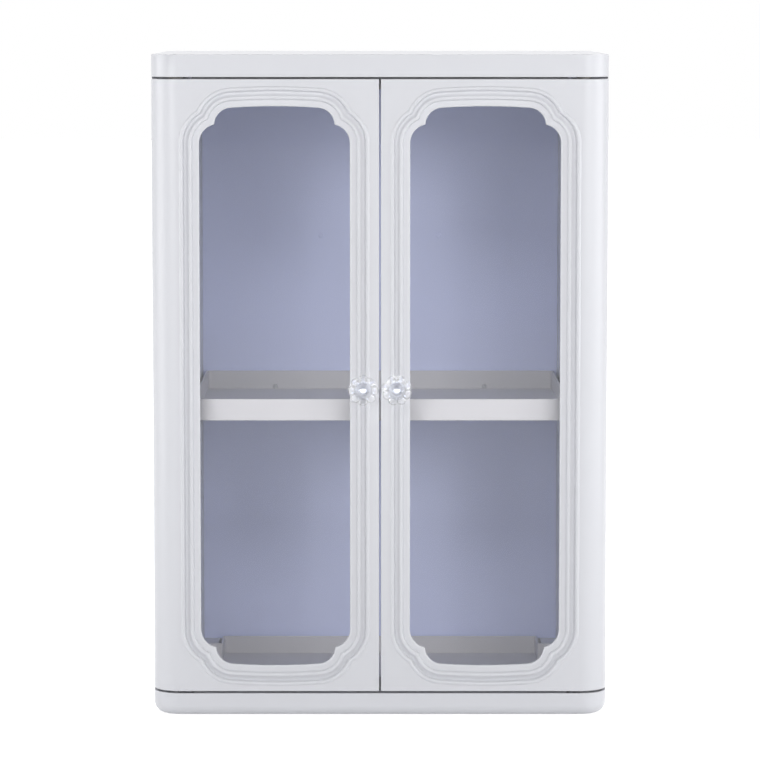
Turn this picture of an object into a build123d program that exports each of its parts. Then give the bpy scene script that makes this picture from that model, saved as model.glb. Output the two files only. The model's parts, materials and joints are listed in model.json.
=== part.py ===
from build123d import *
import math
import os

# Hanging wall cabinet: moulded plastic carcass, two glazed doors on pivot pins, a shelf tray and a
# floor tray. Millimetres. +Z up, the doors face -Y, the wall is the plane y = 0, and the origin is
# midway between the two hanging holes on the wall plane.

os.makedirs("parts", exist_ok=True)

# ---------------------------------------------------------------- driving dimensions
# whole cabinet
WIDTH = 430.0
DEPTH = 305.0
HEIGHT = 625.0
CORNER_R = 25.5            # plan radius of the front corners
REAR_CORNER_R = 3.0
WALL = 3.0                 # general moulding wall
RIB = 2.0                  # stiffening ribs
EDGE_R = 1.0               # rounding of the outer edges
FIT = 0.3                  # clearance between seated pieces
PRESS = 0.05               # radial clearance of pins, screws and bushes in their holes

# top and bottom panels
TOP_CAP = 21.0             # height of the top panel's skirt
BOTTOM_CAP = 21.5
BOTTOM_FILLET = 10.0
CROSS_RIBS = 2
LONG_RIBS = 3
CEILING_RIB_H = 8.0
FLOOR_RIB_H = 1.5          # ribs that carry the floor tray
RETAINER_H = 12.0          # lip that holds the back sheet's upper edge
CORNER_BLOCK_W = 16.0      # blocks at the bottom panel's rear corners
CORNER_BLOCK_D = 40.0

# side panels
SIDE_THICKNESS = 34.0      # hollow side panel, outside to inside
SIDE_RIBS = 3
SIDE_BOSS_R = 5.0
TONGUE_LENGTH = 80.0       # tongues that locate a side panel in the top and bottom panels
TONGUE_REACH = 8.0
LEDGE_REACH = 9.0          # ledges under the shelf tray
GUSSET_DROP = 14.0

# doors and their hinges
PIVOT_INSET = 23.5         # hinge axis in from the cabinet's side
DOOR_GAP_TOP = 1.9
DOOR_GAP_BOTTOM = 1.9
CENTRE_GAP = 1.6           # between the two doors
DOOR_DEPTH = 20.0          # front face to the back of the door's flanges
DOOR_SKIN = 3.0
DOOR_RIBS = 7
DOOR_RIB_D = 14.0
WRAP_RETURN = 8.0          # straight stretch of the door's edge behind its rounded corner
COVE_CLEARANCE = 1.0       # between the door's turning edge and the side panel's cove
LOBE_R = 9.0               # hinge lobe on the door's end flanges
STOP_GAP = 0.5             # from the door's flanges to the stop lips
STOP_OVERLAP = 10.0        # how far the stop lips stand behind the doors
LIP_WALL = 2.5
LIP_END_GAP = 15.0         # from the hinge axis to the end of a stop lip
HINGE_BOSS_R = 7.5
PIN_R = 2.5
PIN_HEAD_R = 4.0
PIN_HEAD = 2.5
PIN_REACH = 13.0           # length of the pin inside the door
BUSH_R = 4.5
BUSH_FLANGE_R = 6.5
BUSH_LENGTH = 14.0
BUSH_RUN = 0.3             # end play between a bush's flange and the pivot boss
PIVOT_BOSS_R = 8.0
PIVOT_FLOOR = 5.0          # thickness under the pin's head

# window, its moulding, its pane and the clips behind it
STILE_MEETING = 27.5       # from the door's meeting edge to the window
STILE_HINGE = 45.7         # from the cabinet's side to the window
RAIL_TOP = 25.5            # from the door's upper end to the window
RAIL_BOTTOM = 24.2
CROWN = 1.35               # rise of the window's top and bottom edges
SHOULDER_R = 17.5          # lower arc of each ornate corner
SHOULDER_DROP = 34.4       # window top to the shoulder's centre
LOBE_ARC_R = 16.6          # upper arc of each ornate corner
LOBE_IN = 30.7             # window side to the upper arc's centre
SEAT_DEPTH = 7.0           # front face to the pane's seat
# section of the window moulding: (distance out from the window, depth behind the face)
BEAD_OUTER = [(18.8, 0.0), (18.3, -0.6), (17.6, -1.0), (16.9, -1.1)]
BEAD_INNER = [(16.3, -1.1), (15.6, -0.7), (15.1, 0.2), (14.7, 1.8), (14.3, 3.0)]
RIDGE_OUTER = [(13.9, 3.0), (11.2, 2.4), (10.5, 1.6), (9.9, 1.0), (9.2, 0.8)]
RIDGE_INNER = [
    (8.3, 0.8), (7.5, 1.1), (6.9, 1.8), (6.4, 3.2), (6.1, 4.3), (3.2, 4.5), (0.9, 4.6), (0.3, 4.9), (0.0, 5.5),
]
PANE = 2.0
PANE_LAP = 7.0
PANE_CORNER_R = 40.0
CLIP_ROWS = 4
CLIP_T = 2.0
CLIP_LENGTH = 14.0
CLIP_OUT = 15.0            # from the window to a clip's screw
CLIP_IN = 4.0              # from the window to a clip's tip
CLIP_BOSS_R = 3.2
CLIP_CORNER_R = 3.0
CLIP_BITE = 4.5

# knobs
KNOB_IN = 15.8             # knob axis from the cabinet's centre line
KNOB_DROP = 0.5            # knob axis below the window's middle
KNOB_R = 14.5
KNOB_PROJECTION = 27.0
KNOB_PETALS = 8
PETAL_R = 5.0
KNOB_TURN = 20.0           # how much further round the right knob stands
KNOB_NECK_R = 5.5
KNOB_DOME_R = 8.6
KNOB_WAIST = 12.5          # from the base to the widest section
KNOB_SHOULDER = 17.0       # from the base to the foot of the dome
KNOB_PAD_R = 8.0
KNOB_BOSS_R = 5.0
KNOB_SEAT_WALL = 3.0       # from the pane's seat to the knob screw's head
WASHER_T = 1.0
WASHER_R = 7.0
INSERT_R = 2.4
INSERT_LENGTH = 18.0
INSERT_BITE = 10.0         # length of the screw inside the insert
GLUE = 0.1                 # glue line round the insert

# screws
SCREW_R = 2.0
SCREW_HEAD_R = 4.0
SCREW_HEAD = 2.4
SCREW_FLOOR = 4.0
SCREW_BOSS_R = 7.0
SCREW_BITE = 14.0          # length of the screw inside the side panel
SCREW_INSET = 22.6         # panel screws in from the cabinet's side
SCREW_FROM_WALL = 54.0     # rear panel screws
SCREW_FROM_PIVOT = 43.5    # front panel screws behind the hinge axis
COUNTERBORE_R = 4.3
SMALL_SCREW_R = 1.5
SMALL_HEAD_R = 3.0
SMALL_HEAD = 1.8
CLIP_HEAD_R = 2.7
CLIP_HEAD = 1.5
HEAD_TAPER = 35            # slope of the crown of a head, in degrees

# back sheet and what hangs the cabinet
SHEET = 2.0
SHEET_SLOT = 7.0           # how deep the sheet stands in its slots
APRON_GAP = 0.2            # between the hanging apron and the sheet
APRON_DROP = 46.0          # hanging apron below the cabinet's top
HANG_DROP = 32.0           # from the cabinet's top down to the hanging holes
HANG_INSET = 75.0          # hanging holes in from the cabinet's side
HANG_HOLE_R = 3.25
HANGER_W = 60.0
HANGER_H = 26.0
HANGER_T = 2.0
HANGER_CORNER_R = 6.5
HANGER_SCREW_PITCH = 40.0
PLUG_INSET = 155.0         # plugs in the back sheet, in from the cabinet's side
PLUG_BELOW_TOP = 188.0
PLUG_R = 1.6
PLUG_HEAD_R = 2.6
PLUG_HEAD = 1.0

# trays
TRAY_WALL = 2.2
TRAY_SIDE_GAP = 3.0        # tray to side panel
TRAY_CORNER_R = 15.0
TRAY_INNER_R = 3.0
TRAY_EDGE_R = 0.8
SHELF_H = 20.6
SHELF_TOP = 326.3          # shelf rim below the cabinet's top
SHELF_SETBACK = 30.0       # shelf's front behind the doors' front
SHELF_RIBS = 3
SHELF_RIB_H = 5.0
SHELF_SCREW_INSET = 108.0
SHELF_HEAD_R = 2.2
SHELF_HEAD = 1.6
NUT_W = 6.0
NUT_T = 2.0
FLOOR_TRAY_H = 19.7
FLOOR_TRAY_SETBACK = 34.0

# magnetic catches
MAGNET_X = 21.3
MAGNET_W = 17.0
MAGNET_D = 7.0
MAGNET_H = 12.0
MAGNET_CHAMFER = 0.6
STRIKE_T = 1.5
STRIKE_W = 19.0
STRIKE_H = 11.0
STRIKE_PAD_D = 5.0
STRIKE_HEAD_R = 2.85

# ---------------------------------------------------------------- places worked out from them
Z_TOP = HANG_DROP
Z_BOTTOM = Z_TOP - HEIGHT
Z_SIDE_TOP = Z_TOP - TOP_CAP
Z_SIDE_BOTTOM = Z_BOTTOM + BOTTOM_CAP
TOP_UNDERSIDE = Z_TOP - WALL
FLOOR_TOP = Z_BOTTOM + WALL
HALF_W = WIDTH / 2
FRONT = -DEPTH
INNER_X = HALF_W - SIDE_THICKNESS

PIVOT_X = HALF_W - PIVOT_INSET
PIVOT_Y = FRONT + CORNER_R
COVE_R = math.hypot(PIVOT_INSET, WRAP_RETURN) + COVE_CLEARANCE
Z_DOOR_TOP = Z_SIDE_TOP - DOOR_GAP_TOP
Z_DOOR_BOTTOM = Z_SIDE_BOTTOM + DOOR_GAP_BOTTOM
DOOR_H = Z_DOOR_TOP - Z_DOOR_BOTTOM
DOOR_BACK = FRONT + DOOR_DEPTH
LIP_FRONT = DOOR_BACK + STOP_GAP
LIP_X = PIVOT_X - LIP_END_GAP
LIP_TOP = Z_DOOR_BOTTOM + STOP_OVERLAP

WINDOW_W = HALF_W - CENTRE_GAP / 2 - STILE_MEETING - STILE_HINGE
WINDOW_H = DOOR_H - RAIL_TOP - RAIL_BOTTOM
WINDOW_X = CENTRE_GAP / 2 + STILE_MEETING + WINDOW_W / 2
WINDOW_Z = Z_DOOR_TOP - RAIL_TOP - WINDOW_H / 2
CROWN_HALF = WINDOW_W / 2 - LOBE_IN
CROWN_R = (CROWN_HALF**2 + CROWN**2) / (2 * CROWN)
RING_OUT = BEAD_OUTER[0][0]
CREST = -BEAD_OUTER[-1][1]
PANE_BACK = SEAT_DEPTH + PANE
CLIP_W = CLIP_OUT + CLIP_BOSS_R - CLIP_IN
KNOB_Z = WINDOW_Z - KNOB_DROP
KNOB_SCREW_SEAT = SEAT_DEPTH + KNOB_SEAT_WALL

SCREW_X = HALF_W - SCREW_INSET
REAR_SCREW_Y = -SCREW_FROM_WALL
FRONT_SCREW_Y = PIVOT_Y + SCREW_FROM_PIVOT

SHEET_BACK = WALL + APRON_GAP
SHEET_FRONT = -SHEET_BACK - SHEET
RETAINER_FRONT = SHEET_FRONT - FIT - WALL
HANG_XS = (HANG_INSET - HALF_W, HALF_W - HANG_INSET)
HANGER_SCREW_XS = [x + d for x in HANG_XS for d in (-HANGER_SCREW_PITCH / 2, HANGER_SCREW_PITCH / 2)]
PLUG_XS = (PLUG_INSET - HALF_W, HALF_W - PLUG_INSET)
PLUG_Z = Z_TOP - PLUG_BELOW_TOP

TRAY_X = INNER_X - TRAY_SIDE_GAP
SHELF_BOTTOM = Z_TOP - SHELF_TOP - SHELF_H
SHELF_FRONT = FRONT + SHELF_SETBACK
SHELF_BACK = SHEET_FRONT - FIT
SHELF_SCREW_XS = (SHELF_SCREW_INSET - HALF_W, HALF_W - SHELF_SCREW_INSET)
SHELF_SCREW_Z = SHELF_BOTTOM + TRAY_WALL + SHELF_HEAD_R + FIT
LEDGE_YS = (SHELF_FRONT + 2 * TRAY_CORNER_R, REAR_SCREW_Y / 2)
FLOOR_TRAY_BOTTOM = FLOOR_TOP + FLOOR_RIB_H
FLOOR_TRAY_FRONT = FRONT + FLOOR_TRAY_SETBACK
FLOOR_TRAY_BACK = RETAINER_FRONT - FIT
NOTCH_X = INNER_X - CORNER_BLOCK_W - TRAY_SIDE_GAP
NOTCH_Y = RETAINER_FRONT - CORNER_BLOCK_D - TRAY_SIDE_GAP

MAGNET_BOTTOM = LIP_TOP - MAGNET_H
STRIKE_Z = Z_DOOR_BOTTOM + DOOR_SKIN + FIT + STRIKE_H / 2


# ---------------------------------------------------------------- planes and small helpers
def faces_front(x, y, z):
    """Plane at a point, looking out of the cabinet's front: its x is X, its y is Z."""
    return Plane(origin=(x, y, z), x_dir=(1, 0, 0), z_dir=(0, -1, 0))


def faces_back(x, y, z):
    """Plane at a point, looking towards the wall; its x runs the other way."""
    return Plane(origin=(x, y, z), x_dir=(-1, 0, 0), z_dir=(0, 1, 0))


def faces_up(x, y, z):
    """Plane at a point, looking up."""
    return Plane(origin=(x, y, z))


def faces_down(x, y, z):
    """Plane at a point, looking down."""
    return Plane(origin=(x, y, z), x_dir=(1, 0, 0), z_dir=(0, 0, -1))


def save(piece, name):
    """Label a finished piece and write its STEP file."""
    piece.part.label = name
    export_step(piece.part, f"parts/{name}.step")


def evenly(start, end, count):
    """Places that divide a stretch into equal spans, its ends left out."""
    return [start + (end - start) * k / (count + 1) for k in range(1, count + 1)]


def block(x, y, z, mode=Mode.ADD):
    """Box between pairs of limits, in the part being built."""
    with Locations((sum(x) / 2, sum(y) / 2, sum(z) / 2)):
        Box(abs(x[1] - x[0]), abs(y[1] - y[0]), abs(z[1] - z[0]), mode=mode)


def fastener(seat, head_r, head_h, shank_r, length):
    """Pin or screw in the part being built: its head stands on the seat plane, its shank runs back."""
    with BuildSketch(seat) as head:
        Circle(head_r)
    extrude(head.sketch, amount=head_h / 2)
    with BuildSketch(seat.offset(head_h / 2)) as crown:
        Circle(head_r)
    extrude(crown.sketch, amount=head_h / 2, taper=HEAD_TAPER)
    with BuildSketch(seat) as shank:
        Circle(shank_r)
    extrude(shank.sketch, amount=-length)


def arc_through(centre, radius, start, end):
    """Arc from start to end about a centre, on the side of the centre that they lie on."""
    towards = (Vector(*start) - Vector(*centre)) + (Vector(*end) - Vector(*centre))
    ThreePointArc(start, Vector(*centre) + towards.normalized() * radius, end)


# ---------------------------------------------------------------- outlines
def cap_outline(inset):
    """Plan of the top and bottom panels, inset all round: rounded front corners."""
    left, right = -HALF_W + inset, HALF_W - inset
    front, back = FRONT + inset, -inset
    radius = CORNER_R - inset
    rear = max(REAR_CORNER_R - inset, RIB / 4)
    FilletPolyline(
        (left, front), (right, front), (right, back), (left, back),
        radius=[radius, radius, rear, rear], close=True,
    )


def window_outline(out):
    """Edge of the left door's window, offset outwards: straight sides, crowned ends, and corners
    of two arcs that meet in a cusp."""
    half_w, half_h = WINDOW_W / 2 + out, WINDOW_H / 2
    crown_r, shoulder_r, lobe_r = CROWN_R + out, SHOULDER_R + out, LOBE_ARC_R + out
    shoulder = Vector(SHOULDER_R - WINDOW_W / 2, half_h - SHOULDER_DROP)
    crown_centre = Vector(0, half_h - CROWN_R)
    lobe_x = LOBE_IN - WINDOW_W / 2
    lobe = crown_centre + Vector(lobe_x, math.sqrt((CROWN_R - LOBE_ARC_R) ** 2 - lobe_x**2))
    span = lobe - shoulder
    along = (span.length**2 + shoulder_r**2 - lobe_r**2) / (2 * span.length)
    across = math.sqrt(shoulder_r**2 - along**2)
    direction = span.normalized()
    cusp = shoulder + direction * along + Vector(-direction.Y, direction.X) * across
    side = Vector(-half_w, shoulder.Y)
    crown_end = crown_centre + (lobe - crown_centre).normalized() * crown_r

    def corner(point, sx, sy):
        return (point.X * sx - WINDOW_X, point.Y * sy + WINDOW_Z)

    for sx, sy in ((1, 1), (-1, 1), (-1, -1), (1, -1)):
        tip = corner(cusp, sx, sy)
        arc_through(corner(shoulder, sx, sy), shoulder_r, corner(side, sx, sy), tip)
        arc_through(corner(lobe, sx, sy), lobe_r, tip, corner(crown_end, sx, sy))
    crown_top = Vector(0, half_h + out)
    for sy in (1, -1):
        ThreePointArc(corner(crown_end, 1, sy), corner(crown_top, 1, sy), corner(crown_end, -1, sy))
    for sx in (1, -1):
        Line(corner(side, sx, 1), corner(side, sx, -1))


def window_sketch(out, depth):
    """Filled window outline, offset outwards, at a depth behind the door's face."""
    with BuildSketch(faces_front(0, FRONT + depth, 0), mode=Mode.PRIVATE) as layer:
        with BuildLine() as edge:
            window_outline(out)
        make_face(edge.edges())
    return layer.sketch


def moulding(section, mode=Mode.ADD):
    """Loft through the window's outline at each point of a moulding section."""
    loft([window_sketch(out, depth) for out, depth in section], ruled=True, mode=mode)


def side_outline(inset, rear_inset):
    """Plan of the left side panel, inset by one amount from its cove about the hinge axis and its
    inner face, and by another from its outer face and the wall."""
    outer, inner = -HALF_W + rear_inset, -INNER_X - inset
    radius = COVE_R + inset
    start = (outer, PIVOT_Y + math.sqrt(radius**2 - (outer + PIVOT_X) ** 2))
    end = (inner, PIVOT_Y + math.sqrt(radius**2 - (inner + PIVOT_X) ** 2))
    arc_through((-PIVOT_X, PIVOT_Y), radius, start, end)
    Polyline(end, (inner, -rear_inset), (outer, -rear_inset), start)


def side_section(outer_wall):
    """Hollow section of the left side panel, with the slot that holds the back sheet. An outer wall
    below zero leaves its outer and rear sides open, where another panel's skirt stands."""
    with BuildLine() as outside:
        side_outline(0, 0)
    make_face(outside.edges())
    with BuildLine() as inside:
        side_outline(WALL, outer_wall)
    make_face(inside.edges(), mode=Mode.SUBTRACT)
    jamb = SHEET_SLOT + WALL
    with Locations((-INNER_X - jamb / 2, RETAINER_FRONT / 2)):
        Rectangle(jamb, -RETAINER_FRONT)
    slot = SHEET + FIT
    with Locations((-INNER_X - SHEET_SLOT / 2, -SHEET_BACK - slot / 2)):
        Rectangle(SHEET_SLOT, slot, mode=Mode.SUBTRACT)


def side_cross_rib():
    """Rib right across the left side panel's hollow."""
    Rectangle(SIDE_THICKNESS - WALL, RIB)


# ---------------------------------------------------------------- top and bottom panels
def cap_structure(rim_z, height, screw_ys):
    """Seats for the side panels, hinge and screw bosses with their webs, from a panel's rim to its
    plate: height is positive upwards."""
    with BuildSketch(Plane.XY.offset(rim_z)) as walls:
        side_section(-WALL)
        mirror(about=Plane.YZ)
        skirt = HALF_W - WALL / 2
        for side in (-1, 1):
            with Locations((side * PIVOT_X, PIVOT_Y)):
                Circle(PIVOT_BOSS_R)
            with Locations((side * (PIVOT_X + skirt) / 2, PIVOT_Y)):
                Rectangle(skirt - PIVOT_X, RIB)
            with Locations((side * PIVOT_X, (PIVOT_Y + FRONT + WALL / 2) / 2)):
                Rectangle(RIB, CORNER_R - WALL / 2)
            for y in screw_ys:
                with Locations((side * SCREW_X, y)):
                    Circle(SCREW_BOSS_R)
                with Locations((side * (SCREW_X + skirt) / 2, y)):
                    Rectangle(skirt - SCREW_X, RIB)
    extrude(walls.sketch, amount=height)


def cap_ribs(z):
    """Stiffening ribs between the side panels, from the stop lip to the sheet's retainer."""
    with BuildSketch(Plane.XY.offset(z)) as ribs:
        for y in evenly(FRONT, 0, CROSS_RIBS):
            with Locations((0, y)):
                Rectangle(2 * INNER_X + WALL, RIB)
        for x in evenly(-INNER_X, INNER_X, LONG_RIBS):
            with Locations((x, (LIP_FRONT + RETAINER_FRONT) / 2)):
                Rectangle(RIB, RETAINER_FRONT - LIP_FRONT)
    return ribs.sketch


def cap_holes(facing, z, height, screw_ys):
    """Counterbored holes for the pivot pins and panel screws, drilled from a panel's outer face."""
    for side in (-1, 1):
        with Locations(facing(side * PIVOT_X, PIVOT_Y, z)):
            CounterBoreHole(PIN_R + PRESS, COUNTERBORE_R, height - PIVOT_FLOOR, height)
        for y in screw_ys:
            with Locations(facing(side * SCREW_X, y, z)):
                CounterBoreHole(SCREW_R + PRESS, COUNTERBORE_R, height - SCREW_FLOOR, height)


def cap_sill(rim_z, thickness):
    """Rail from a panel's front skirt to its stop lip, flush with the rim: the doors' ends pass it."""
    block((-LIP_X, LIP_X), (FRONT + WALL / 2, LIP_FRONT + LIP_WALL / 2), (rim_z, rim_z + thickness))


def cap_body(inset, z, height, mode=Mode.ADD):
    """Plan of a panel, inset all round, raised to a height in the part being built."""
    with BuildSketch(Plane.XY.offset(z)) as plan:
        with BuildLine() as edge:
            cap_outline(inset)
        make_face(edge.edges())
    extrude(plan.sketch, amount=height, mode=mode)


with BuildPart() as top_panel:
    cap_body(0, Z_SIDE_TOP, TOP_CAP)
    fillet(top_panel.faces().sort_by(Axis.Z)[-1].outer_wire().edges(), EDGE_R)
    cap_body(WALL, Z_SIDE_TOP, TOP_CAP - WALL, Mode.SUBTRACT)
    cap_structure(Z_SIDE_TOP, TOP_CAP - WALL, [REAR_SCREW_Y])
    cap_sill(Z_SIDE_TOP, WALL)
    extrude(cap_ribs(TOP_UNDERSIDE), amount=-CEILING_RIB_H)
    block((-LIP_X, LIP_X), (LIP_FRONT, LIP_FRONT + LIP_WALL),
          (Z_DOOR_TOP - STOP_OVERLAP, TOP_UNDERSIDE))
    block((-INNER_X - WALL, INNER_X + WALL), (RETAINER_FRONT, RETAINER_FRONT + WALL),
          (TOP_UNDERSIDE - RETAINER_H, TOP_UNDERSIDE))
    block((-INNER_X + FIT, INNER_X - FIT), (-WALL, 0), (Z_TOP - APRON_DROP, TOP_UNDERSIDE))
    cap_holes(faces_up, Z_TOP, TOP_CAP, [REAR_SCREW_Y])
    with Locations(*[faces_front(x, -WALL, 0) for x in HANG_XS]):
        Hole(HANG_HOLE_R, depth=WALL)
    with Locations(*[faces_front(x, -WALL, 0) for x in HANGER_SCREW_XS]):
        Hole(SMALL_SCREW_R + PRESS, depth=WALL)
save(top_panel, "top_panel")

def bottom_shape(inset):
    """Outside of the bottom panel with its rounded lower edge, inset all round, above and below."""
    with BuildPart(mode=Mode.PRIVATE) as shape:
        cap_body(inset, Z_BOTTOM + inset, BOTTOM_CAP)
        fillet(shape.faces().sort_by(Axis.Z)[0].outer_wire().edges(), BOTTOM_FILLET - inset)
    return shape.part


with BuildPart() as bottom_structure:
    cap_structure(Z_SIDE_BOTTOM, WALL - BOTTOM_CAP, [REAR_SCREW_Y, FRONT_SCREW_Y])
    add(bottom_shape(WALL / 2), mode=Mode.INTERSECT)

with BuildPart() as bottom_panel:
    add(bottom_shape(0))
    add(bottom_shape(WALL), mode=Mode.SUBTRACT)
    add(bottom_structure.part)
    cap_sill(Z_SIDE_BOTTOM, -WALL)
    extrude(cap_ribs(FLOOR_TOP), amount=FLOOR_RIB_H)
    block((-LIP_X, LIP_X), (LIP_FRONT, LIP_FRONT + LIP_WALL), (FLOOR_TOP, LIP_TOP))
    block((-INNER_X - WALL, INNER_X + WALL), (RETAINER_FRONT, RETAINER_FRONT + WALL),
          (FLOOR_TOP, Z_SIDE_BOTTOM))
    for side in (-1, 1):
        # pocket for the catch magnet, cored from below
        half_pocket = MAGNET_W / 2 + FIT
        pocket_x = (side * MAGNET_X - half_pocket, side * MAGNET_X + half_pocket)
        pocket_back = LIP_FRONT + MAGNET_D + FIT
        block((pocket_x[0] - RIB, pocket_x[1] + RIB), (LIP_FRONT, pocket_back + RIB),
              (FLOOR_TOP, LIP_TOP))
        block(pocket_x, (LIP_FRONT, pocket_back), (MAGNET_BOTTOM, LIP_TOP), Mode.SUBTRACT)
        block(pocket_x, (LIP_FRONT + RIB, pocket_back), (Z_BOTTOM, MAGNET_BOTTOM - WALL), Mode.SUBTRACT)
        # corner block, cored from below
        block((side * (INNER_X - CORNER_BLOCK_W), side * (INNER_X + WALL)),
              (RETAINER_FRONT - CORNER_BLOCK_D, RETAINER_FRONT), (FLOOR_TOP, Z_SIDE_BOTTOM))
        block((side * (INNER_X - CORNER_BLOCK_W + WALL), side * INNER_X),
              (RETAINER_FRONT - CORNER_BLOCK_D + WALL, RETAINER_FRONT - WALL),
              (Z_BOTTOM, Z_SIDE_BOTTOM - WALL), Mode.SUBTRACT)
    cap_holes(faces_down, Z_BOTTOM, BOTTOM_CAP, [REAR_SCREW_Y, FRONT_SCREW_Y])
save(bottom_panel, "bottom_panel")

# ---------------------------------------------------------------- side panels
SIDE_MIDDLE = -(HALF_W + INNER_X) / 2
BOSS_LENGTH = SCREW_BITE + WALL

with BuildPart() as side_panel_left:
    with BuildSketch(Plane.XY.offset(Z_SIDE_BOTTOM)):
        side_section(WALL)
        with Locations(*[(SIDE_MIDDLE, y) for y in evenly(REAR_SCREW_Y, FRONT_SCREW_Y, SIDE_RIBS)]):
            side_cross_rib()
    extrude(amount=Z_SIDE_TOP - Z_SIDE_BOTTOM)
    for y, end_z, inward in (
        (REAR_SCREW_Y, Z_SIDE_TOP, -1),
        (REAR_SCREW_Y, Z_SIDE_BOTTOM, 1),
        (FRONT_SCREW_Y, Z_SIDE_BOTTOM, 1),
    ):
        with BuildSketch(Plane.XY.offset(end_z)):
            with Locations((-SCREW_X, y)):
                Circle(SIDE_BOSS_R)
            with Locations((SIDE_MIDDLE, y)):
                side_cross_rib()
        extrude(amount=inward * BOSS_LENGTH)
        with BuildSketch(Plane.XY.offset(end_z)):
            with Locations((-SCREW_X, y)):
                Circle(SCREW_R + PRESS)
        extrude(amount=inward * (SCREW_BITE + FIT), mode=Mode.SUBTRACT)
    # tongues at both ends, joined to the outer skin
    skin_x = -HALF_W + WALL
    tongue_middle = (REAR_SCREW_Y + FRONT_SCREW_Y) / 2
    tongue_y = (tongue_middle - TONGUE_LENGTH / 2, tongue_middle + TONGUE_LENGTH / 2)
    for end_z, outward in ((Z_SIDE_TOP, TONGUE_REACH), (Z_SIDE_BOTTOM, -TONGUE_REACH)):
        block((skin_x + FIT, skin_x + FIT + RIB), tongue_y, (end_z - 2 * outward, end_z + outward))
        block((skin_x - FIT, skin_x + FIT), tongue_y, (end_z - 2 * outward, end_z))
    # ledge under the shelf tray, with its gussets
    with BuildSketch(Plane.XY.offset(SHELF_BOTTOM)):
        with Locations((-INNER_X + (LEDGE_REACH - WALL) / 2, sum(LEDGE_YS) / 2)):
            RectangleRounded(LEDGE_REACH + WALL, LEDGE_YS[1] - LEDGE_YS[0], WALL - FIT)
    extrude(amount=-WALL)
    for y in (LEDGE_YS[0] + LEDGE_REACH, sum(LEDGE_YS) / 2, LEDGE_YS[1] - LEDGE_REACH):
        root, tip = -INNER_X - WALL / 2, -INNER_X + LEDGE_REACH - RIB
        under, foot = SHELF_BOTTOM - WALL, SHELF_BOTTOM - GUSSET_DROP
        with BuildSketch(faces_front(0, y, 0)):
            with BuildLine():
                Polyline((root, under), (tip, under), (-INNER_X, foot), (root, foot), close=True)
            make_face()
        extrude(amount=RIB / 2, both=True)
save(side_panel_left, "side_panel_left")

# ---------------------------------------------------------------- back sheet and hanging plates
with BuildPart() as back_panel:
    block((-INNER_X - SHEET_SLOT + FIT, INNER_X + SHEET_SLOT - FIT), (SHEET_FRONT, -SHEET_BACK),
          (Z_BOTTOM + BOTTOM_FILLET + FIT, TOP_UNDERSIDE - FIT))
    for radius, xs, z in (
        (HANG_HOLE_R, HANG_XS, 0),
        (SMALL_SCREW_R + PRESS, HANGER_SCREW_XS, 0),
        (PLUG_R + PRESS, PLUG_XS, PLUG_Z),
        (SMALL_SCREW_R + PRESS, SHELF_SCREW_XS, SHELF_SCREW_Z),
    ):
        with Locations(*[faces_front(x, SHEET_FRONT, z) for x in xs]):
            Hole(radius, depth=SHEET)
save(back_panel, "back_panel")

with BuildPart() as hanger_plate_left:
    with BuildSketch(faces_front(0, SHEET_FRONT, 0)):
        with Locations((HANG_XS[0], 0)):
            RectangleRounded(HANGER_W, HANGER_H, HANGER_CORNER_R)
            Circle(HANG_HOLE_R, mode=Mode.SUBTRACT)
            with GridLocations(HANGER_SCREW_PITCH, 1, 2, 1):
                Circle(SMALL_SCREW_R + PRESS, mode=Mode.SUBTRACT)
    extrude(amount=HANGER_T)
save(hanger_plate_left, "hanger_plate_left")

with BuildPart() as hanger_screws:
    for x in HANGER_SCREW_XS:
        fastener(faces_front(x, SHEET_FRONT - HANGER_T, 0), SMALL_HEAD_R, SMALL_HEAD, SMALL_SCREW_R,
                 HANGER_T + SHEET + WALL)
save(hanger_screws, "hanger_screws")

with BuildPart() as back_panel_plugs:
    for x in PLUG_XS:
        seat = faces_front(x, SHEET_FRONT, PLUG_Z)
        fastener(seat, PLUG_HEAD_R, PLUG_HEAD, PLUG_R, SHEET)
        with BuildSketch(seat.offset(-SHEET)):
            Circle(PLUG_HEAD_R)
        extrude(amount=-PLUG_HEAD)
save(back_panel_plugs, "back_panel_plugs")


# ---------------------------------------------------------------- shelf tray and floor tray
def shelf_outline(inset):
    """Plan of the shelf tray, inset all round."""
    x, front, back = TRAY_X - inset, SHELF_FRONT + inset, SHELF_BACK - inset
    corner = TRAY_CORNER_R - inset
    FilletPolyline(
        (-x, front), (x, front), (x, back), (-x, back),
        radius=[corner, corner, TRAY_INNER_R, TRAY_INNER_R], close=True,
    )


def floor_tray_outline(inset):
    """Plan of the floor tray, inset all round, with notched rear corners."""
    x, front, back = TRAY_X - inset, FLOOR_TRAY_FRONT + inset, FLOOR_TRAY_BACK - inset
    notch_x, notch_y = NOTCH_X - inset, NOTCH_Y - inset
    corner = TRAY_CORNER_R - inset
    FilletPolyline(
        (-x, front), (x, front), (x, notch_y), (notch_x, notch_y),
        (notch_x, back), (-notch_x, back), (-notch_x, notch_y), (-x, notch_y),
        radius=[corner, corner] + 6 * [TRAY_INNER_R], close=True,
    )


def tray_body(outline, bottom, height):
    """Open tray in the part being built, floor and rim of one wall."""
    for inset, start, mode in ((0, bottom, Mode.ADD), (TRAY_WALL, bottom + TRAY_WALL, Mode.SUBTRACT)):
        with BuildSketch(Plane.XY.offset(start)) as plan:
            with BuildLine() as edge:
                outline(inset)
            make_face(edge.edges())
        extrude(plan.sketch, amount=height, mode=mode)


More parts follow.
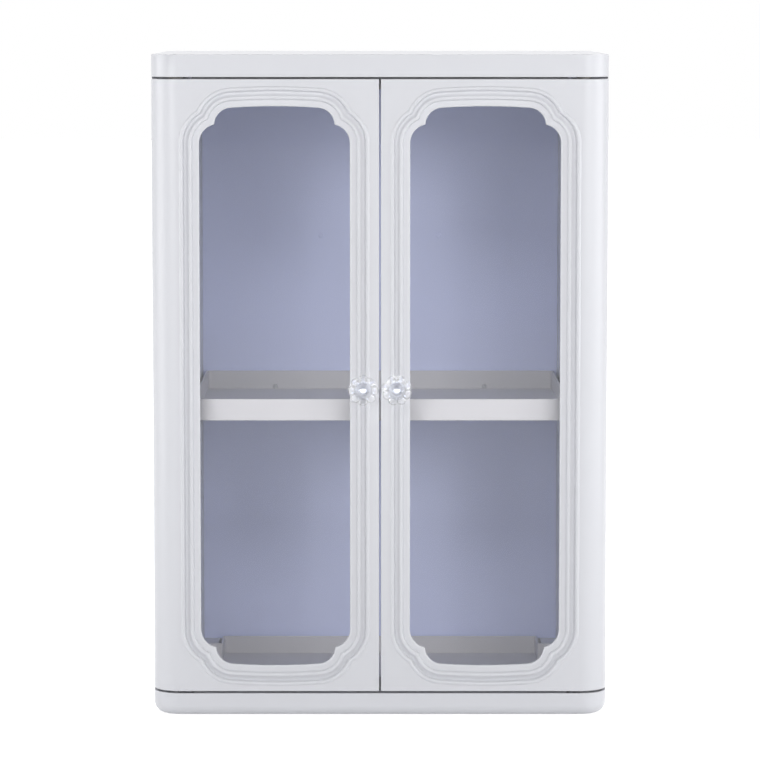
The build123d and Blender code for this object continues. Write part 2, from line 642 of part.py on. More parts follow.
with BuildPart() as shelf_tray:
    tray_body(shelf_outline, SHELF_BOTTOM, SHELF_H)
    fillet(shelf_tray.faces().sort_by(Axis.Z)[-1].edges(), TRAY_EDGE_R)
    fillet(shelf_tray.faces().sort_by(Axis.Z)[0].edges(), TRAY_EDGE_R)
    with BuildSketch(Plane.XY.offset(SHELF_BOTTOM)):
        with Locations(*[(0, y) for y in evenly(SHELF_FRONT, SHELF_BACK, SHELF_RIBS)]):
            Rectangle(2 * (INNER_X - LEDGE_REACH - TRAY_SIDE_GAP), RIB)
    extrude(amount=-SHELF_RIB_H)
    with Locations(*[faces_front(x, SHELF_BACK - TRAY_WALL, SHELF_SCREW_Z) for x in SHELF_SCREW_XS]):
        Hole(SMALL_SCREW_R + PRESS, depth=TRAY_WALL)
save(shelf_tray, "shelf_tray")

with BuildPart() as floor_tray:
    tray_body(floor_tray_outline, FLOOR_TRAY_BOTTOM, FLOOR_TRAY_H)
    fillet(floor_tray.faces().sort_by(Axis.Z)[-1].edges(), TRAY_EDGE_R)
    fillet(floor_tray.faces().sort_by(Axis.Z)[0].edges(), TRAY_EDGE_R)
save(floor_tray, "floor_tray")

with BuildPart() as shelf_screws:
    for x in SHELF_SCREW_XS:
        fastener(faces_front(x, SHELF_BACK - TRAY_WALL, SHELF_SCREW_Z), SHELF_HEAD_R, SHELF_HEAD,
                 SMALL_SCREW_R, TRAY_WALL + FIT + SHEET + NUT_T)
save(shelf_screws, "shelf_screws")

with BuildPart() as shelf_nuts:
    for x in SHELF_SCREW_XS:
        with BuildSketch(faces_front(x, -SHEET_BACK, SHELF_SCREW_Z)):
            Rectangle(NUT_W, NUT_W)
            Circle(SMALL_SCREW_R + PRESS, mode=Mode.SUBTRACT)
        extrude(amount=-NUT_T)
save(shelf_nuts, "shelf_nuts")

# ---------------------------------------------------------------- carcass pins, screws and magnets
with BuildPart() as upper_pivot_pin_left:
    fastener(faces_up(-PIVOT_X, PIVOT_Y, Z_SIDE_TOP + PIVOT_FLOOR), PIN_HEAD_R, PIN_HEAD, PIN_R,
             PIVOT_FLOOR + DOOR_GAP_TOP + PIN_REACH)
save(upper_pivot_pin_left, "upper_pivot_pin_left")

with BuildPart() as lower_pivot_pin_left:
    fastener(faces_down(-PIVOT_X, PIVOT_Y, Z_SIDE_BOTTOM - PIVOT_FLOOR), PIN_HEAD_R, PIN_HEAD, PIN_R,
             PIVOT_FLOOR + DOOR_GAP_BOTTOM + PIN_REACH)
save(lower_pivot_pin_left, "lower_pivot_pin_left")

with BuildPart() as top_panel_screws:
    for x in (-SCREW_X, SCREW_X):
        fastener(faces_up(x, REAR_SCREW_Y, Z_SIDE_TOP + SCREW_FLOOR), SCREW_HEAD_R, SCREW_HEAD,
                 SCREW_R, SCREW_FLOOR + SCREW_BITE)
save(top_panel_screws, "top_panel_screws")

with BuildPart() as bottom_panel_screws:
    for x in (-SCREW_X, SCREW_X):
        for y in (REAR_SCREW_Y, FRONT_SCREW_Y):
            fastener(faces_down(x, y, Z_SIDE_BOTTOM - SCREW_FLOOR), SCREW_HEAD_R, SCREW_HEAD,
                     SCREW_R, SCREW_FLOOR + SCREW_BITE)
save(bottom_panel_screws, "bottom_panel_screws")

with BuildPart() as catch_magnet_left:
    block((-MAGNET_X - MAGNET_W / 2, -MAGNET_X + MAGNET_W / 2), (LIP_FRONT, LIP_FRONT + MAGNET_D),
          (MAGNET_BOTTOM, LIP_TOP))
    chamfer(catch_magnet_left.edges().filter_by(Axis.Z), MAGNET_CHAMFER)
save(catch_magnet_left, "catch_magnet_left")


# ---------------------------------------------------------------- door frame
def door_footprint():
    """Plan of the left door at its ends: wrapped corner, hinge lobe and back edge."""
    meeting = -CENTRE_GAP / 2
    corner = (CORNER_R - HALF_W, PIVOT_Y)
    wrap_end = (-HALF_W, PIVOT_Y + WRAP_RETURN)
    lobe_side = (-PIVOT_X + LOBE_R, PIVOT_Y)
    lobe_back = (-PIVOT_X, PIVOT_Y + LOBE_R)
    Line((meeting, FRONT), (corner[0], FRONT))
    arc_through(corner, CORNER_R, (corner[0], FRONT), (-HALF_W, PIVOT_Y))
    Polyline((-HALF_W, PIVOT_Y), wrap_end, (wrap_end[0] + DOOR_SKIN, wrap_end[1]), lobe_back)
    arc_through((-PIVOT_X, PIVOT_Y), LOBE_R, lobe_back, lobe_side)
    Polyline(lobe_side, (lobe_side[0], DOOR_BACK), (meeting, DOOR_BACK), (meeting, FRONT))


def door_cavity():
    """Plan of the space behind the left door's skin, open at the back."""
    back = PIVOT_Y + CORNER_R
    meeting = -CENTRE_GAP / 2 - DOOR_SKIN
    skin = FRONT + DOOR_SKIN
    side = -HALF_W + DOOR_SKIN
    corner = (CORNER_R - HALF_W, PIVOT_Y)
    Line((meeting, skin), (corner[0], skin))
    arc_through(corner, CORNER_R - DOOR_SKIN, (corner[0], skin), (side, PIVOT_Y))
    Polyline((side, PIVOT_Y), (side, back), (meeting, back), (meeting, skin))


def clip_spots():
    """Where the window clips' screws stand, seen from behind the window's centre."""
    return GridLocations(WINDOW_W + 2 * CLIP_OUT, WINDOW_H / CLIP_ROWS, 2, CLIP_ROWS)


RIB_REACH = STILE_HINGE - RING_OUT + FIT
HINGE_BOSS_H = BUSH_LENGTH + RIB

with BuildPart() as door_frame_left:
    with BuildSketch(Plane.XY.offset(Z_DOOR_BOTTOM)):
        with BuildLine():
            door_footprint()
        make_face()
    extrude(amount=DOOR_H)
    front_face = door_frame_left.faces().filter_by(Axis.Y).sort_by(Axis.Y)[0]
    meeting_edge = front_face.edges().sort_by(Axis.X)[-1]
    fillet(front_face.edges().filter_by(Axis.X) + [meeting_edge], EDGE_R)
    with BuildSketch(Plane.XY.offset(Z_DOOR_BOTTOM + DOOR_SKIN)):
        with BuildLine():
            door_cavity()
        make_face()
    extrude(amount=DOOR_H - 2 * DOOR_SKIN, mode=Mode.SUBTRACT)
    # stiffening ribs between the wrapped corner and the window moulding
    for z in evenly(Z_DOOR_BOTTOM, Z_DOOR_TOP, DOOR_RIBS):
        with BuildSketch(Plane.XY.offset(z - RIB / 2)):
            with BuildLine():
                door_cavity()
            make_face()
            with Locations((-HALF_W, FRONT)):
                Rectangle(2 * RIB_REACH, 2 * DOOR_RIB_D, mode=Mode.INTERSECT)
        extrude(amount=RIB)
    # hinge bosses and their webs
    for end_z, inward in ((Z_DOOR_TOP, -1), (Z_DOOR_BOTTOM, 1)):
        with BuildSketch(Plane.XY.offset(end_z + inward * EDGE_R)):
            with Locations((-PIVOT_X, PIVOT_Y)):
                Circle(HINGE_BOSS_R)
            with Locations((-PIVOT_X, (PIVOT_Y + FRONT + DOOR_SKIN / 2) / 2)):
                Rectangle(RIB, CORNER_R - DOOR_SKIN / 2)
        extrude(amount=inward * (HINGE_BOSS_H - EDGE_R))
        with BuildSketch(Plane.XY.offset(end_z)):
            with Locations((-PIVOT_X, PIVOT_Y)):
                Circle(BUSH_R + PRESS)
        extrude(amount=inward * (BUSH_LENGTH + PRESS), mode=Mode.SUBTRACT)
    # window moulding: a thick ring, then the bead, two coves and the ridge between them
    extrude(window_sketch(RING_OUT, 0), amount=-SEAT_DEPTH)
    moulding(BEAD_OUTER)
    moulding(BEAD_INNER, Mode.SUBTRACT)
    moulding(RIDGE_OUTER)
    moulding(RIDGE_INNER, Mode.SUBTRACT)
    extrude(window_sketch(0, RIDGE_INNER[-1][1]), amount=-DOOR_SKIN, mode=Mode.SUBTRACT)
    # bosses and pilot holes for the window clips
    with BuildSketch(faces_back(-WINDOW_X, FRONT + SEAT_DEPTH, WINDOW_Z)):
        with clip_spots():
            Circle(CLIP_BOSS_R)
    extrude(amount=PANE)
    with BuildSketch(faces_back(-WINDOW_X, FRONT + PANE_BACK, WINDOW_Z)):
        with clip_spots():
            Circle(SMALL_SCREW_R + PRESS)
    extrude(amount=-CLIP_BITE, mode=Mode.SUBTRACT)
    # flat pad under the knob, its boss behind, and the screw hole through both
    with BuildSketch(faces_front(-KNOB_IN, FRONT - CREST, KNOB_Z)):
        Circle(KNOB_PAD_R)
    extrude(amount=-CREST - DOOR_SKIN)
    with BuildSketch(faces_front(-KNOB_IN, FRONT, KNOB_Z)):
        Circle(KNOB_BOSS_R)
    extrude(amount=-KNOB_SCREW_SEAT)
    with Locations(faces_front(-KNOB_IN, FRONT - CREST, KNOB_Z)):
        Hole(SMALL_SCREW_R + PRESS, depth=CREST + KNOB_SCREW_SEAT)
    # pad that carries the strike plate
    block((-MAGNET_X - STRIKE_W / 2, -MAGNET_X + STRIKE_W / 2),
          (DOOR_BACK - STRIKE_T - STRIKE_PAD_D, DOOR_BACK - STRIKE_T),
          (Z_DOOR_BOTTOM + EDGE_R, STRIKE_Z + STRIKE_H / 2))
    with Locations(faces_back(-MAGNET_X, DOOR_BACK - STRIKE_T, STRIKE_Z)):
        Hole(SMALL_SCREW_R + PRESS, depth=STRIKE_PAD_D)
save(door_frame_left, "door_frame_left")

# ---------------------------------------------------------------- pieces carried by the door
with BuildPart() as door_window_left:
    with BuildSketch(faces_back(-WINDOW_X, FRONT + SEAT_DEPTH, WINDOW_Z)):
        RectangleRounded(WINDOW_W + 2 * PANE_LAP, WINDOW_H + 2 * PANE_LAP, PANE_CORNER_R)
    extrude(amount=PANE)
save(door_window_left, "door_window_left")

with BuildPart() as window_clips_left:
    with BuildSketch(faces_back(-WINDOW_X, FRONT + PANE_BACK, WINDOW_Z)):
        with GridLocations(WINDOW_W + 2 * CLIP_IN + CLIP_W, WINDOW_H / CLIP_ROWS, 2, CLIP_ROWS):
            RectangleRounded(CLIP_W, CLIP_LENGTH, CLIP_CORNER_R)
        with clip_spots():
            Circle(SMALL_SCREW_R + PRESS, mode=Mode.SUBTRACT)
    extrude(amount=CLIP_T)
save(window_clips_left, "window_clips_left")

with BuildPart() as window_clip_screws_left:
    for spot in clip_spots():
        seat = Plane(faces_back(-WINDOW_X, FRONT + PANE_BACK + CLIP_T, WINDOW_Z) * spot)
        fastener(seat, CLIP_HEAD_R, CLIP_HEAD, SMALL_SCREW_R, CLIP_T + CLIP_BITE - FIT)
save(window_clip_screws_left, "window_clip_screws_left")

with BuildPart() as strike_plate_left:
    with BuildSketch(faces_back(-MAGNET_X, DOOR_BACK - STRIKE_T, STRIKE_Z)):
        RectangleRounded(STRIKE_W, STRIKE_H, RIB)
    extrude(amount=STRIKE_T)
    with Locations(faces_back(-MAGNET_X, DOOR_BACK, STRIKE_Z)):
        CounterSinkHole(SMALL_SCREW_R + PRESS, STRIKE_HEAD_R, depth=STRIKE_T, counter_sink_angle=90)
save(strike_plate_left, "strike_plate_left")

CONE_H = STRIKE_HEAD_R - PRESS - SMALL_SCREW_R
with BuildPart() as strike_screw_left:
    with BuildSketch(faces_back(-MAGNET_X, DOOR_BACK, STRIKE_Z)):
        Circle(STRIKE_HEAD_R - PRESS)
    extrude(amount=-CONE_H, taper=45)
    with BuildSketch(faces_back(-MAGNET_X, DOOR_BACK - CONE_H, STRIKE_Z)):
        Circle(SMALL_SCREW_R)
    extrude(amount=CONE_H - STRIKE_T - STRIKE_PAD_D + FIT)
save(strike_screw_left, "strike_screw_left")


def bush(seat, end_gap):
    """Flanged bush in the part being built: its flange fills the gap at the door's end, less the
    end play."""
    with BuildSketch(seat) as flange:
        Circle(BUSH_FLANGE_R)
    extrude(flange.sketch, amount=end_gap - BUSH_RUN)
    with BuildSketch(seat) as barrel:
        Circle(BUSH_R)
    extrude(barrel.sketch, amount=-BUSH_LENGTH)
    with Locations(seat.offset(end_gap - BUSH_RUN)):
        Hole(PIN_R + PRESS)


with BuildPart() as upper_bush_left:
    bush(faces_up(-PIVOT_X, PIVOT_Y, Z_DOOR_TOP), DOOR_GAP_TOP)
save(upper_bush_left, "upper_bush_left")

with BuildPart() as lower_bush_left:
    bush(faces_down(-PIVOT_X, PIVOT_Y, Z_DOOR_BOTTOM), DOOR_GAP_BOTTOM)
save(lower_bush_left, "lower_bush_left")

# ---------------------------------------------------------------- knob
KNOB_BASE = FRONT - CREST - WASHER_T
KNOB_H = KNOB_PROJECTION - CREST - WASHER_T
PETAL_PITCH_R = KNOB_R - PETAL_R
# petals: (height above the base, size against the widest section)
PETAL_SECTION = [
    (KNOB_WAIST * 0.6, 0.62),
    (KNOB_WAIST * 0.9, 0.97),
    (KNOB_WAIST, 1.0),
    (KNOB_SHOULDER * 0.93, 0.97),
    (KNOB_SHOULDER, 0.88),
]


def petal_sketch(height, size):
    """Scalloped outline of the left knob, at one height above its base."""
    with BuildSketch(faces_front(-KNOB_IN, KNOB_BASE - height, KNOB_Z), mode=Mode.PRIVATE) as petals:
        Circle(PETAL_PITCH_R * size)
        with PolarLocations(PETAL_PITCH_R * size, KNOB_PETALS):
            Circle(PETAL_R * size)
    return petals.sketch


with BuildPart() as knob_crystal_left:
    # the sketch's x is the radius, its y runs out of the door
    with BuildSketch(Plane(origin=(-KNOB_IN, KNOB_BASE, KNOB_Z), x_dir=(1, 0, 0), z_dir=(0, 0, -1))):
        with BuildLine():
            flare = Spline(
                (KNOB_NECK_R, 0), (KNOB_NECK_R, KNOB_WAIST * 0.5), (PETAL_PITCH_R, KNOB_WAIST),
                tangents=[(0, 1), (1, 0.8)],
            )
            Polyline(flare @ 1, (PETAL_PITCH_R, KNOB_SHOULDER), (KNOB_DOME_R, KNOB_SHOULDER))
            dome = TangentArc((KNOB_DOME_R, KNOB_SHOULDER), (KNOB_DOME_R / 3, KNOB_H), tangent=(0, 1))
            Polyline(dome @ 1, (0, KNOB_H), (0, 0), flare @ 0)
        make_face()
    revolve(axis=Axis((-KNOB_IN, 0, KNOB_Z), (0, -1, 0)))
    loft([petal_sketch(height, size) for height, size in PETAL_SECTION], ruled=True)
    with Locations(faces_back(-KNOB_IN, KNOB_BASE, KNOB_Z)):
        Hole(INSERT_R + GLUE, depth=INSERT_LENGTH)
save(knob_crystal_left, "knob_crystal_left")

with BuildPart() as knob_insert_left:
    with BuildSketch(faces_front(-KNOB_IN, KNOB_BASE, KNOB_Z)):
        Circle(INSERT_R)
    extrude(amount=INSERT_LENGTH - GLUE)
    chamfer(knob_insert_left.faces().sort_by(Axis.Y)[0].edges(), EDGE_R / 2)
    with Locations(faces_back(-KNOB_IN, KNOB_BASE, KNOB_Z)):
        Hole(SMALL_SCREW_R + PRESS, depth=INSERT_BITE + FIT)
save(knob_insert_left, "knob_insert_left")

with BuildPart() as knob_washer_left:
    with BuildSketch(faces_front(-KNOB_IN, FRONT - CREST, KNOB_Z)):
        Circle(WASHER_R)
        Circle(SMALL_SCREW_R + PRESS, mode=Mode.SUBTRACT)
    extrude(amount=WASHER_T)
save(knob_washer_left, "knob_washer_left")

with BuildPart() as knob_screw_left:
    fastener(faces_back(-KNOB_IN, FRONT + KNOB_SCREW_SEAT, KNOB_Z), SMALL_HEAD_R, SMALL_HEAD,
             SMALL_SCREW_R, KNOB_SCREW_SEAT + CREST + WASHER_T + INSERT_BITE)
save(knob_screw_left, "knob_screw_left")

# ---------------------------------------------------------------- right-hand copies
for left in (
    side_panel_left, hanger_plate_left, upper_pivot_pin_left, lower_pivot_pin_left,
    catch_magnet_left, door_frame_left, door_window_left, window_clips_left,
    window_clip_screws_left, strike_plate_left, strike_screw_left, upper_bush_left,
    lower_bush_left, knob_insert_left, knob_washer_left, knob_screw_left,
):
    with BuildPart() as right:
        mirror(left.part, about=Plane.YZ)
    save(right, left.part.label.replace("left", "right"))

# the right knob has come to rest a little further round on its screw
with BuildPart() as knob_crystal_right:
    add(mirror(knob_crystal_left.part, about=Plane.YZ, mode=Mode.PRIVATE)
        .rotate(Axis((KNOB_IN, 0, KNOB_Z), (0, 1, 0)), KNOB_TURN))
save(knob_crystal_right, "knob_crystal_right")
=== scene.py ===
import json
import math

import bpy
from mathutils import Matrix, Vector


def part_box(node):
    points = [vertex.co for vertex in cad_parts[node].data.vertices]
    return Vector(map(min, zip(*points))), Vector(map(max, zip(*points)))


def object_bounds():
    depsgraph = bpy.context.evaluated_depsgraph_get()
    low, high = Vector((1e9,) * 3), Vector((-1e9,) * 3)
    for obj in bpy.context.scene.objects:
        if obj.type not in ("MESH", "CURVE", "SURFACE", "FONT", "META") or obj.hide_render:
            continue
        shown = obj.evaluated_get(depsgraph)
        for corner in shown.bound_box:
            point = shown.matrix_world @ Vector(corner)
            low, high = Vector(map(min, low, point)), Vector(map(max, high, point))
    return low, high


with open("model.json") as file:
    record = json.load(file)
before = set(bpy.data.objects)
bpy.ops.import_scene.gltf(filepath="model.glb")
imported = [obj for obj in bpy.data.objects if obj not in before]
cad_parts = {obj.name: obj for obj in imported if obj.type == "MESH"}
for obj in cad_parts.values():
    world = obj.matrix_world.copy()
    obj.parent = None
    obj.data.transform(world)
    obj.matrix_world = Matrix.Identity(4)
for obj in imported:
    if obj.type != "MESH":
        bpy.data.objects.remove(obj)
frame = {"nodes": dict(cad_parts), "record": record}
SLOT_OF = {row["node"]: row["material_slot"] for row in frame["record"]["subparts"]}
CAD_LOW, CAD_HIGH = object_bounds()
MIDDLE = (CAD_LOW + CAD_HIGH) / 2
DOOR_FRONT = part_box("door_frame_left")[0].y
CABINET_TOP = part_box("top_panel")[1].z

SCENE = bpy.context.scene
WHITE = (1.0, 1.0, 1.0, 1.0)


# ---------------------------------------------------------------- camera
CAMERA_DISTANCE = 3.30         # in front of the doors
CAMERA_ABOVE_TOP = 0.038
CAMERA_LENS = 167.3
CAMERA_SENSOR = 36.0
CAMERA_PITCH = math.radians(5.23)
CAMERA_SHIFT_Y = -0.057
CAMERA_REACH = 50.0


def make_camera():
    """Long lens, just above the cabinet's top, looking slightly down."""
    data = bpy.data.cameras.new("camera")
    data.lens = CAMERA_LENS
    data.sensor_width = CAMERA_SENSOR
    data.shift_y = CAMERA_SHIFT_Y
    data.clip_end = CAMERA_REACH
    camera = bpy.data.objects.new("camera", data)
    camera.location = (0.0, DOOR_FRONT - CAMERA_DISTANCE, CABINET_TOP + CAMERA_ABOVE_TOP)
    camera.rotation_euler = (math.pi / 2 - CAMERA_PITCH, 0.0, 0.0)
    SCENE.collection.objects.link(camera)
    SCENE.camera = camera


make_camera()


# ---------------------------------------------------------------- node helpers
def add_node(tree, kind, inputs=(), **settings):
    """New node with its settings; each input is linked to a socket or set to a value."""
    node = tree.nodes.new(kind)
    for key, value in settings.items():
        setattr(node, key, value)
    for socket, source in dict(inputs).items():
        if hasattr(source, "links"):
            tree.links.new(source, node.inputs[socket])
        else:
            node.inputs[socket].default_value = source
    return node


class Shader:
    """A material under construction: its Principled shader and calls for the nodes before it."""

    def __init__(self, name, **values):
        self.material = bpy.data.materials.new(name)
        self.material.use_nodes = True
        self.tree = self.material.node_tree
        self.surface = self.tree.nodes["Principled BSDF"]
        for socket, value in values.items():
            self.surface.inputs[socket.replace("_", " ")].default_value = value
        self.place = self.add("ShaderNodeTexCoord").outputs["Object"]

    def add(self, kind, inputs=(), **settings):
        return add_node(self.tree, kind, inputs, **settings)

    def noise(self, scale, detail=2.0, roughness=0.5, stretch=None):
        place = self.place
        if stretch:
            mapping = self.add("ShaderNodeMapping", {"Vector": place, "Scale": stretch})
            place = mapping.outputs[0]
        return self.add(
            "ShaderNodeTexNoise",
            {"Vector": place, "Scale": scale, "Detail": detail, "Roughness": roughness},
        ).outputs["Fac"]

    def remap(self, source, low, high, start=0.0, end=1.0):
        """Source runs from start to end, the result from low to high."""
        return self.add(
            "ShaderNodeMapRange",
            {"Value": source, "From Min": start, "From Max": end, "To Min": low, "To Max": high},
        ).outputs["Result"]

    def blend(self, factor, first, second):
        """First colour where the factor is 0, second where it is 1."""
        ends = {6: (*first, 1.0), 7: (*second, 1.0)}
        return self.add("ShaderNodeMix", {0: factor, **ends}, data_type="RGBA").outputs[2]

    def blend_value(self, factor, first, second):
        """First value where the factor is 0, second where it is 1."""
        return self.add("ShaderNodeMix", {0: factor, 2: first, 3: second}).outputs[0]

    def to(self, socket, source):
        self.tree.links.new(source, self.surface.inputs[socket])

    def bump(self, height, strength, distance):
        node = self.add(
            "ShaderNodeBump", {"Height": height, "Strength": strength, "Distance": distance}
        )
        self.to("Normal", node.outputs["Normal"])


def srgb(red, green, blue):
    """Linear colour of an 8-bit screen colour."""
    linear = []
    for value in (red, green, blue):
        share = value / 255
        linear.append(share / 12.92 if share <= 0.04045 else ((share + 0.055) / 1.055) ** 2.4)
    return tuple(linear)


# ---------------------------------------------------------------- materials
POLYMER_IOR = 1.49             # the mouldings and the panes
CRYSTAL_IOR = 1.45             # chosen for looks, below that of real crystal or acrylic
CRYSTAL_ALPHA = 0.5            # chosen for looks: lets light reach the metal at the core
WORN_METAL_SHADE = 0.86        # darkest metal against its own colour
MARKS_PER_WEAR = 6             # turning marks are this much finer than the wear


def white_plastic():
    """Satin injection-moulded white: faint flow mottling and a trace of orange peel."""
    shader = Shader("white_plastic", Roughness=0.34, IOR=POLYMER_IOR)
    mottle = shader.noise(5.0, detail=3.0, stretch=(1.0, 1.0, 0.35))
    shader.to("Base Color", shader.blend(mottle, srgb(200, 201, 206), srgb(203, 204, 209)))
    shader.to("Roughness", shader.remap(shader.noise(25.0, detail=1.0), low=0.32, high=0.37))
    shader.bump(shader.noise(160.0, detail=1.0), strength=0.02, distance=0.00001)
    return shader.material


def back_blue():
    """Satin lavender-blue sheet with a fine grain and slow streaks from its extrusion."""
    shader = Shader("back_blue", Roughness=0.45, IOR=POLYMER_IOR)
    streak = shader.noise(14.0, detail=3.0, stretch=(1.0, 1.0, 0.08))
    shader.to("Base Color", shader.blend(streak, srgb(212, 219, 252), srgb(216, 223, 255)))
    shader.to("Roughness", shader.remap(shader.noise(80.0), low=0.4, high=0.5))
    shader.bump(shader.noise(900.0), strength=0.08, distance=0.0002)
    return shader.material


def tray_grey():
    """Satin grey-beige moulding with a sparked, slightly grainy face."""
    shader = Shader("tray_grey", Roughness=0.42, IOR=POLYMER_IOR)
    mottle = shader.noise(16.0, detail=4.0)
    shader.to("Base Color", shader.blend(mottle, srgb(203, 202, 207), srgb(208, 207, 211)))
    shader.to("Roughness", shader.remap(shader.noise(120.0), low=0.36, high=0.48))
    shader.bump(shader.noise(1300.0), strength=0.1, distance=0.0002)
    return shader.material


def clear_panel():
    """Clear polished pane: all that shows of it is its reflection, strong only at a low angle.

    Its back faces are left out, since a Fresnel node there reflects everything at a low angle
    and the pane turns opaque. This is a stand-in for looks, not how a real pane behaves.
    """
    shader = Shader("clear_panel", Metallic=1.0, Roughness=0.03)
    wave = shader.noise(6.0, detail=1.0)
    shader.to("Base Color", shader.blend(wave, srgb(246, 249, 252), srgb(250, 252, 255)))
    fresnel = shader.add("ShaderNodeFresnel", {"IOR": POLYMER_IOR}).outputs["Fac"]
    inside = shader.add("ShaderNodeNewGeometry").outputs["Backfacing"]
    shader.to("Alpha", shader.blend_value(inside, fresnel, 0.0))
    shader.bump(shader.noise(3.5, detail=1.0), strength=0.02, distance=0.002)
    return shader.material


def crystal():
    """Clear moulded crystal, faintly cloudy."""
    shader = Shader("crystal", Roughness=0.02, IOR=CRYSTAL_IOR, Transmission_Weight=1.0,
                    Alpha=CRYSTAL_ALPHA)
    cloud = shader.noise(120.0)
    shader.to("Base Color", shader.blend(cloud, srgb(250, 251, 253), srgb(255, 255, 255)))
    shader.bump(shader.noise(260.0, detail=1.0), strength=0.03, distance=0.0004)
    return shader.material


def metal(name, colour, low, high, scale):
    """Polished or plated metal with fine turning marks; low and high bound its roughness."""
    shader = Shader(name, Metallic=1.0, Roughness=low)
    wear = shader.noise(scale, detail=3.0)
    darker = tuple(channel * WORN_METAL_SHADE for channel in colour)
    shader.to("Base Color", shader.blend(wear, darker, colour))
    shader.to("Roughness", shader.remap(wear, low, high))
    shader.bump(shader.noise(scale * MARKS_PER_WEAR), strength=0.06, distance=0.0001)
    return shader.material


def plain_moulding(name, dark, light, low, high):
    """Small moulded piece: slight mottling and an even grain; low and high as in metal."""
    shader = Shader(name, Roughness=low)
    shader.to("Base Color", shader.blend(shader.noise(150.0, detail=3.0), dark, light))
    shader.to("Roughness", shader.remap(shader.noise(300.0), low, high))
    shader.bump(shader.noise(1500.0), strength=0.1, distance=0.0001)
    return shader.material


MATERIALS = {
    "white_plastic": white_plastic(),
    "back_blue": back_blue(),
    "tray_grey": tray_grey(),
    "clear_panel": clear_panel(),
    "crystal": crystal(),
    "knob_metal": metal("knob_metal", srgb(226, 229, 239), low=0.12, high=0.2, scale=300.0),
    "steel": metal("steel", srgb(196, 197, 200), low=0.22, high=0.36, scale=400.0),
    "nylon": plain_moulding(
        "nylon", srgb(222, 219, 210), srgb(232, 230, 222), low=0.4, high=0.5
    ),
    "magnet_black": plain_moulding(
        "magnet_black", srgb(52, 52, 56), srgb(66, 66, 70), low=0.45, high=0.6
    ),
}


# ---------------------------------------------------------------- CAD nodes: finish and shading
WELD = 0.00002
SMOOTH_ANGLE = math.radians(38)


def smoothing_group():
    """Joins the faces of a CAD mesh again, and shades them smooth across all but sharp edges."""
    group = bpy.data.node_groups.new("join_and_smooth", "GeometryNodeTree")
    for direction in ("INPUT", "OUTPUT"):
        group.interface.new_socket("Geometry", in_out=direction, socket_type="NodeSocketGeometry")
    mesh = add_node(group, "NodeGroupInput").outputs[0]
    mesh = add_node(
        group, "GeometryNodeRemoveAttribute", {"Geometry": mesh, "Name": "custom_normal"}
    ).outputs[0]
    mesh = add_node(
        group, "GeometryNodeMergeByDistance", {"Geometry": mesh, "Distance": WELD}
    ).outputs[0]
    angle = add_node(group, "GeometryNodeInputMeshEdgeAngle").outputs["Unsigned Angle"]
    flat = add_node(
        group, "FunctionNodeCompare", {0: angle, 1: SMOOTH_ANGLE}, operation="LESS_THAN"
    ).outputs[0]
    mesh = add_node(
        group, "GeometryNodeSetShadeSmooth", {"Geometry": mesh}, domain="FACE"
    ).outputs[0]
    mesh = add_node(
        group, "GeometryNodeSetShadeSmooth", {"Geometry": mesh, "Shade Smooth": flat},
        domain="EDGE",
    ).outputs[0]
    add_node(group, "NodeGroupOutput", {0: mesh})
    return group


SMOOTHING = smoothing_group()
for name, node in frame["nodes"].items():
    node.data.materials.clear()
    node.data.materials.append(MATERIALS[SLOT_OF[name]])
    modifier = node.modifiers.new("join_and_smooth", "NODES")
    modifier.node_group = SMOOTHING


# ---------------------------------------------------------------- floor and world
FLOOR_SIZE = 30.0
FLOOR_GAP = 0.0002             # below the cabinet
FLOOR_GREY = 0.9
FLOOR_GLOW = 0.6               # share of full white by the cabinet
FLOOR_GLOW_START = 0.6         # from the frame's origin, where the glow starts to rise
FLOOR_GLOW_END = 3.0           # from the frame's origin, where it is full white
WORLD_AMBIENT = 0.12           # strength for diffuse light on the cabinet


def seen_directly(tree):
    """1 for what the camera sees, straight on, in a reflection or through glass; else 0."""
    rays = add_node(tree, "ShaderNodeLightPath").outputs
    seen = rays["Is Camera Ray"]
    for kind in ("Is Glossy Ray", "Is Transmission Ray"):
        either = add_node(tree, "ShaderNodeMath", {0: seen, 1: rays[kind]}, operation="MAXIMUM")
        seen = either.outputs[0]
    return seen


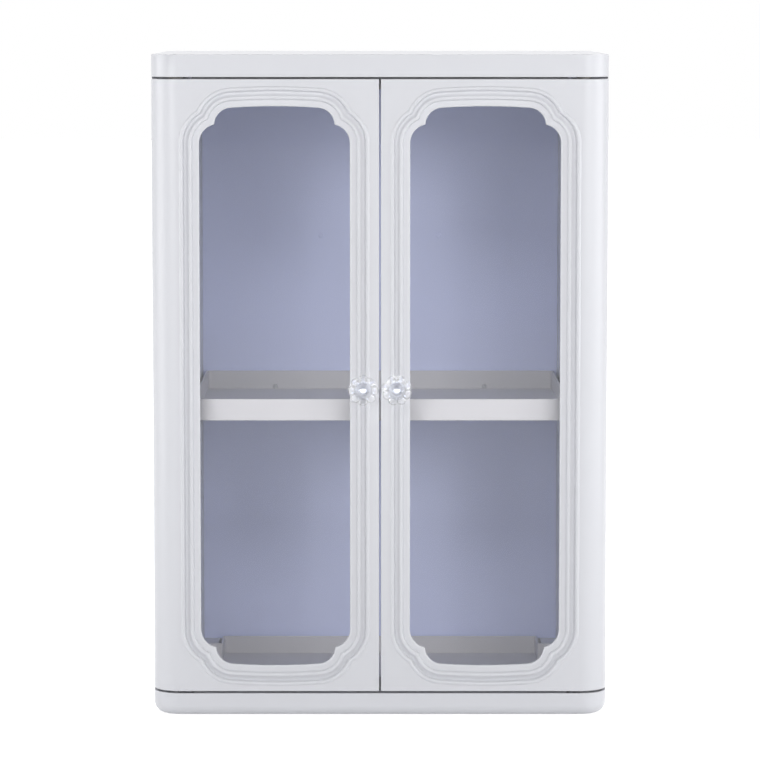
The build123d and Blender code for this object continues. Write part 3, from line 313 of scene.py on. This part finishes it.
def make_floor():
    """Pale floor under the cabinet; its glow shows to the camera and in reflections."""
    half = FLOOR_SIZE / 2
    z = CAD_LOW.z - FLOOR_GAP
    mesh = bpy.data.meshes.new("floor")
    corners = [(-half, -half, z), (half, -half, z), (half, half, z), (-half, half, z)]
    mesh.from_pydata(corners, [], [(0, 1, 2, 3)])
    floor = bpy.data.objects.new("floor", mesh)
    SCENE.collection.objects.link(floor)
    shader = Shader("floor", Base_Color=(FLOOR_GREY, FLOOR_GREY, FLOOR_GREY, 1.0),
                    Roughness=0.9, Specular_IOR_Level=0.1, Emission_Color=WHITE)
    away = shader.add("ShaderNodeVectorMath", {0: shader.place}, operation="LENGTH")
    spread = shader.remap(away.outputs["Value"], low=FLOOR_GLOW, high=1.0,
                          start=FLOOR_GLOW_START, end=FLOOR_GLOW_END)
    glow = shader.add("ShaderNodeMath", {0: seen_directly(shader.tree), 1: spread},
                      operation="MULTIPLY")
    shader.to("Emission Strength", glow.outputs[0])
    mesh.materials.append(shader.material)


def make_world():
    """White to the camera and in reflections; a soft ambient light for the rest."""
    world = bpy.data.worlds.new("studio")
    SCENE.world = world
    world.use_nodes = True
    tree = world.node_tree
    background = tree.nodes["Background"]
    background.inputs["Color"].default_value = WHITE
    strength = add_node(
        tree, "ShaderNodeMapRange",
        {"Value": seen_directly(tree), "To Min": WORLD_AMBIENT, "To Max": 1.0},
    )
    tree.links.new(strength.outputs["Result"], background.inputs["Strength"])


make_floor()
make_world()


# ---------------------------------------------------------------- lamps
def softbox(name, azimuth, elevation, distance, width, height, watts):
    """Area light that faces the cabinet: azimuth is right of straight in front, in degrees."""
    data = bpy.data.lights.new(name, "AREA")
    data.shape = "RECTANGLE"
    data.size, data.size_y = width, height
    data.energy = watts
    lamp = bpy.data.objects.new(name, data)
    turn, rise = math.radians(azimuth), math.radians(elevation)
    level = math.cos(rise)
    away = Vector((math.sin(turn) * level, -math.cos(turn) * level, math.sin(rise)))
    lamp.location = MIDDLE + away * distance
    lamp.rotation_euler = (-away).to_track_quat("-Z", "Y").to_euler()
    SCENE.collection.objects.link(lamp)


# The side boxes draw the mouldings and the rounded corners, the front ones reach the back sheet,
# and the rear ones light the top. Their watts were fitted to the photograph, then set one by one.
SOFTBOXES = [
    # name, azimuth, elevation, distance, width, height, watts
    ("left_side_box", -80, 4, 2.6, 1.5, 2.4, 38.0),
    ("right_side_box", 80, 4, 2.6, 1.5, 2.4, 38.0),
    ("right_key_box", 50, 10, 3.0, 1.3, 1.8, 11.0),
    ("left_front_box", -26, 12, 4.2, 1.2, 1.2, 37.0),
    ("right_front_box", 26, 12, 4.2, 1.2, 1.2, 33.0),
    ("high_front_box", 0, 32, 4.0, 1.4, 0.8, 28.0),
    ("left_rear_box", -150, 52, 3.6, 2.6, 2.0, 50.0),
    ("right_rear_box", 150, 52, 3.6, 2.6, 2.0, 54.0),
]
for row in SOFTBOXES:
    softbox(*row)

SCENE.view_settings.view_transform = "Standard"
